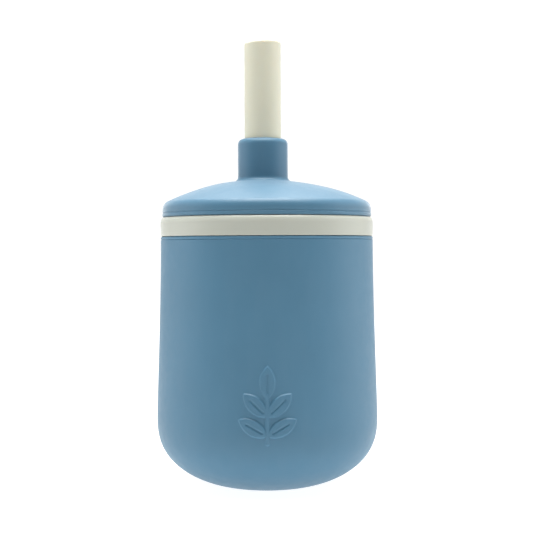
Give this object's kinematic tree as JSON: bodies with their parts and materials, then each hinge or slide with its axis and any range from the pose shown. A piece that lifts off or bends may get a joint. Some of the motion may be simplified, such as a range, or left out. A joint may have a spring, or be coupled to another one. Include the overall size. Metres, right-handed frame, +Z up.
{
  "type": "sippy cup",
  "caption": "Toddler's straw cup: a soft rounded sleeve round a drinking cup with a flush rim band, a domed plug-in lid with a collar, and a straight soft straw.",
  "frame": {"origin": "centre of the base, on the surface that the cup stands on", "axes": "+Z up along the cup's axis; the raised sprig on the sleeve faces -Y, and the vent hole of the lid is on the +Y side"},
  "size_m": [0.0746, 0.0751, 0.1501],
  "materials": {
    "blue_silicone": "matte dusty-blue silicone",
    "cream_plastic": "satin warm-white moulded plastic",
    "lid_silicone": "matte dusty-blue silicone",
    "cream_silicone": "matte cream silicone"
  },
  "bodies": {
    "sleeve": {"sleeve": "blue_silicone"},
    "cup": {"drinking_cup": "cream_plastic"},
    "lid": {"lid": "lid_silicone"},
    "straw": {"straw": "cream_silicone"}
  },
  "joints": [
    {"name": "cup_lift", "type": "slide", "parent": "sleeve", "child": "cup", "axis": [0, 0, 1], "range_m": [0, 0.09]},
    {"name": "lid_lift", "type": "slide", "parent": "cup", "child": "lid", "axis": [0, 0, 1], "range_m": [0, 0.09]},
    {"name": "straw_slide", "type": "slide", "parent": "lid", "child": "straw", "axis": [0, 0, 1], "range_m": [-0.002, 0.11]}
  ]
}
